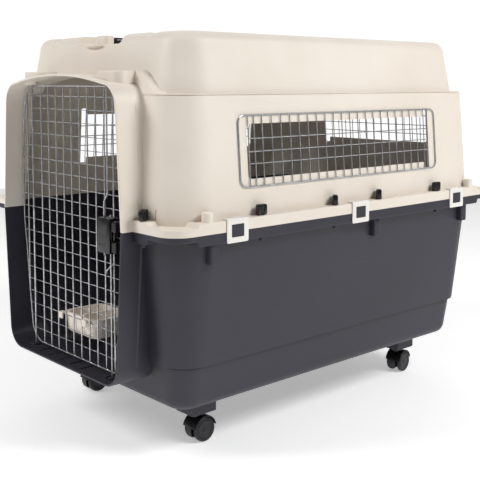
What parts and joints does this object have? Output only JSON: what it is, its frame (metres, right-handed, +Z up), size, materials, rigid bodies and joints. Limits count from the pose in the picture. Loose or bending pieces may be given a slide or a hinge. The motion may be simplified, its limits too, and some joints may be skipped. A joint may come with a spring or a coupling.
{
  "type": "pet travel crate",
  "caption": "Wheeled pet travel crate: two bolted plastic half shells, a hinged wire door with a pinch latch, window nets, clips, swivel casters, bowl and handle.",
  "frame": {"origin": "on the floor under the middle of the crate's overall box, with the casters standing on the floor", "axes": "+Z up, the door faces -Y, +X is the crate's right-hand side seen from its front as in the picture"},
  "size_m": [0.6956, 1.02, 0.82],
  "materials": {
    "cream_plastic": "satin moulded",
    "grey_plastic": "satin moulded",
    "black_plastic": "semi-gloss moulded",
    "white_plastic": "semi-gloss moulded",
    "steel_wire": "bright galvanised",
    "wheel_plastic": "moulded"
  },
  "bodies": {
    "crate": {"lower_shell": "grey_plastic", "upper_shell": "cream_plastic", "window_net_right": "steel_wire", "window_net_left": "steel_wire", "window_net_rear": "steel_wire", "stud_right_1": "steel_wire", "stud_right_2": "steel_wire", "stud_right_3": "steel_wire", "stud_right_4": "steel_wire", "stud_left_1": "steel_wire", "stud_left_2": "steel_wire", "stud_left_3": "steel_wire", "stud_left_4": "steel_wire", "stud_front_right": "steel_wire", "stud_front_left": "steel_wire"},
    "door": {"door_grille": "steel_wire", "door_hinge_rod": "steel_wire", "latch_housing": "black_plastic", "latch_back_plate": "black_plastic", "latch_spring_upper": "steel_wire", "latch_spring_lower": "steel_wire"},
    "latch_upper": {"latch_slider_upper": "black_plastic", "latch_rod_upper": "steel_wire"},
    "latch_lower": {"latch_slider_lower": "black_plastic", "latch_rod_lower": "steel_wire"},
    "bowl": {"feeding_bowl": "cream_plastic"},
    "handle": {"carry_handle": "black_plastic"},
    "clip_right_1": {"side_clip_right_1": "white_plastic"},
    "clip_right_2": {"side_clip_right_2": "white_plastic"},
    "clip_right_3": {"side_clip_right_3": "white_plastic"},
    "clip_left_1": {"side_clip_left_1": "white_plastic"},
    "clip_left_2": {"side_clip_left_2": "white_plastic"},
    "clip_left_3": {"side_clip_left_3": "white_plastic"},
    "nut_right_1": {"wing_nut_right_1": "black_plastic"},
    "nut_right_2": {"wing_nut_right_2": "black_plastic"},
    "nut_right_3": {"wing_nut_right_3": "black_plastic"},
    "nut_right_4": {"wing_nut_right_4": "black_plastic"},
    "nut_left_1": {"wing_nut_left_1": "black_plastic"},
    "nut_left_2": {"wing_nut_left_2": "black_plastic"},
    "nut_left_3": {"wing_nut_left_3": "black_plastic"},
    "nut_left_4": {"wing_nut_left_4": "black_plastic"},
    "nut_front_right": {"wing_nut_front_right": "black_plastic"},
    "nut_front_left": {"wing_nut_front_left": "black_plastic"},
    "caster_front_right": {"caster_hood_front_right": "black_plastic", "axle_front_right": "steel_wire"},
    "wheel_front_right_a": {"wheel_front_right_a": "wheel_plastic"},
    "wheel_front_right_b": {"wheel_front_right_b": "wheel_plastic"},
    "caster_front_left": {"caster_hood_front_left": "black_plastic", "axle_front_left": "steel_wire"},
    "wheel_front_left_a": {"wheel_front_left_a": "wheel_plastic"},
    "wheel_front_left_b": {"wheel_front_left_b": "wheel_plastic"},
    "caster_rear_right": {"caster_hood_rear_right": "black_plastic", "axle_rear_right": "steel_wire"},
    "wheel_rear_right_a": {"wheel_rear_right_a": "wheel_plastic"},
    "wheel_rear_right_b": {"wheel_rear_right_b": "wheel_plastic"},
    "caster_rear_left": {"caster_hood_rear_left": "black_plastic", "axle_rear_left": "steel_wire"},
    "wheel_rear_left_a": {"wheel_rear_left_a": "wheel_plastic"},
    "wheel_rear_left_b": {"wheel_rear_left_b": "wheel_plastic"}
  },
  "joints": [
    {"name": "door_hinge", "type": "hinge", "parent": "crate", "child": "door", "pos_m": [-0.156, -0.4758, 0.44], "axis": [0, 0, -1], "range_deg": [0, 120]},
    {"name": "latch_slide_upper", "type": "slide", "parent": "door", "child": "latch_upper", "axis": [0, 0, -1], "range_m": [0, 0.008], "stiffness_N_per_m": 400, "springref_m": -0.01, "deforming": ["latch_spring_upper"]},
    {"name": "latch_slide_lower", "type": "slide", "parent": "door", "child": "latch_lower", "axis": [0, 0, 1], "range_m": [0, 0.008], "stiffness_N_per_m": 400, "springref_m": -0.01, "deforming": ["latch_spring_lower"]},
    {"name": "bowl_lift", "type": "slide", "parent": "door", "child": "bowl", "axis": [0, 0, 1], "range_m": [0, 0.012]},
    {"name": "handle_fold", "type": "hinge", "parent": "crate", "child": "handle", "pos_m": [-0.014, -0.3142, 0.8085], "axis": [0, -1, 0], "range_deg": [0, 100]},
    {"name": "clip_hinge_right_1", "type": "hinge", "parent": "crate", "child": "clip_right_1", "pos_m": [0.3333, -0.3355, 0.4723], "axis": [0, -1, 0], "range_deg": [0, 90]},
    {"name": "clip_hinge_right_2", "type": "hinge", "parent": "crate", "child": "clip_right_2", "pos_m": [0.3333, 0.0125, 0.4723], "axis": [0, -1, 0], "range_deg": [0, 90]},
    {"name": "clip_hinge_right_3", "type": "hinge", "parent": "crate", "child": "clip_right_3", "pos_m": [0.3333, 0.3605, 0.4723], "axis": [0, -1, 0], "range_deg": [0, 90]},
    {"name": "nut_turn_right_1", "type": "hinge", "parent": "crate", "child": "nut_right_1", "pos_m": [0.3375, -0.267, 0.4828], "axis": [0, 0, 1], "continuous": true},
    {"name": "nut_turn_right_2", "type": "hinge", "parent": "crate", "child": "nut_right_2", "pos_m": [0.3375, -0.058, 0.4828], "axis": [0, 0, 1], "continuous": true},
    {"name": "nut_turn_right_3", "type": "hinge", "parent": "crate", "child": "nut_right_3", "pos_m": [0.3375, 0.083, 0.4828], "axis": [0, 0, 1], "continuous": true},
    {"name": "nut_turn_right_4", "type": "hinge", "parent": "crate", "child": "nut_right_4", "pos_m": [0.3375, 0.292, 0.4828], "axis": [0, 0, 1], "continuous": true},
    {"name": "nut_turn_front_right", "type": "hinge", "parent": "crate", "child": "nut_front_right", "pos_m": [0.2475, -0.477, 0.4828], "axis": [0, 0, 1], "continuous": true},
    {"name": "clip_hinge_left_1", "type": "hinge", "parent": "crate", "child": "clip_left_1", "pos_m": [-0.3333, 0.3605, 0.4723], "axis": [0, 1, 0], "range_deg": [0, 90]},
    {"name": "clip_hinge_left_2", "type": "hinge", "parent": "crate", "child": "clip_left_2", "pos_m": [-0.3333, 0.0125, 0.4723], "axis": [0, 1, 0], "range_deg": [0, 90]},
    {"name": "clip_hinge_left_3", "type": "hinge", "parent": "crate", "child": "clip_left_3", "pos_m": [-0.3333, -0.3355, 0.4723], "axis": [0, 1, 0], "range_deg": [0, 90]},
    {"name": "nut_turn_left_1", "type": "hinge", "parent": "crate", "child": "nut_left_1", "pos_m": [-0.3375, -0.267, 0.4828], "axis": [0, 0, 1], "continuous": true},
    {"name": "nut_turn_left_2", "type": "hinge", "parent": "crate", "child": "nut_left_2", "pos_m": [-0.3375, -0.058, 0.4828], "axis": [0, 0, 1], "continuous": true},
    {"name": "nut_turn_left_3", "type": "hinge", "parent": "crate", "child": "nut_left_3", "pos_m": [-0.3375, 0.083, 0.4828], "axis": [0, 0, 1], "continuous": true},
    {"name": "nut_turn_left_4", "type": "hinge", "parent": "crate", "child": "nut_left_4", "pos_m": [-0.3375, 0.292, 0.4828], "axis": [0, 0, 1], "continuous": true},
    {"name": "nut_turn_front_left", "type": "hinge", "parent": "crate", "child": "nut_front_left", "pos_m": [-0.2475, -0.477, 0.4828], "axis": [0, 0, 1], "continuous": true},
    {"name": "swivel_front_right", "type": "hinge", "parent": "crate", "child": "caster_front_right", "pos_m": [0.195, -0.3125, 0.062], "axis": [0, 0, 1], "continuous": true},
    {"name": "roll_front_right_a", "type": "hinge", "parent": "caster_front_right", "child": "wheel_front_right_a", "pos_m": [0.2088, -0.3035, 0.025], "axis": [1, 0, 0], "continuous": true},
    {"name": "roll_front_right_b", "type": "hinge", "parent": "caster_front_right", "child": "wheel_front_right_b", "pos_m": [0.1812, -0.3035, 0.025], "axis": [1, 0, 0], "continuous": true},
    {"name": "swivel_front_left", "type": "hinge", "parent": "crate", "child": "caster_front_left", "pos_m": [-0.195, -0.3125, 0.062], "axis": [0, 0, 1], "continuous": true},
    {"name": "roll_front_left_a", "type": "hinge", "parent": "caster_front_left", "child": "wheel_front_left_a", "pos_m": [-0.1812, -0.3035, 0.025], "axis": [1, 0, 0], "continuous": true},
    {"name": "roll_front_left_b", "type": "hinge", "parent": "caster_front_left", "child": "wheel_front_left_b", "pos_m": [-0.2088, -0.3035, 0.025], "axis": [1, 0, 0], "continuous": true},
    {"name": "swivel_rear_right", "type": "hinge", "parent": "crate", "child": "caster_rear_right", "pos_m": [0.195, 0.3375, 0.062], "axis": [0, 0, 1], "continuous": true},
    {"name": "roll_rear_right_a", "type": "hinge", "parent": "caster_rear_right", "child": "wheel_rear_right_a", "pos_m": [0.20722, 0.34855, 0.025], "axis": [0.9877, 0.1564, 0], "continuous": true},
    {"name": "roll_rear_right_b", "type": "hinge", "parent": "caster_rear_right", "child": "wheel_rear_right_b", "pos_m": [0.17996, 0.34423, 0.025], "axis": [0.9877, 0.1564, 0], "continuous": true},
    {"name": "swivel_rear_left", "type": "hinge", "parent": "crate", "child": "caster_rear_left", "pos_m": [-0.195, 0.3375, 0.062], "axis": [0, 0, 1], "continuous": true},
    {"name": "roll_rear_left_a", "type": "hinge", "parent": "caster_rear_left", "child": "wheel_rear_left_a", "pos_m": [-0.18278, 0.34855, 0.025], "axis": [0.9877, 0.1564, 0], "continuous": true},
    {"name": "roll_rear_left_b", "type": "hinge", "parent": "caster_rear_left", "child": "wheel_rear_left_b", "pos_m": [-0.21004, 0.34423, 0.025], "axis": [0.9877, 0.1564, 0], "continuous": true}
  ],
  "couplings": [
    {"joint": "latch_slide_lower", "follows": "latch_slide_upper", "ratio": 1}
  ]
}
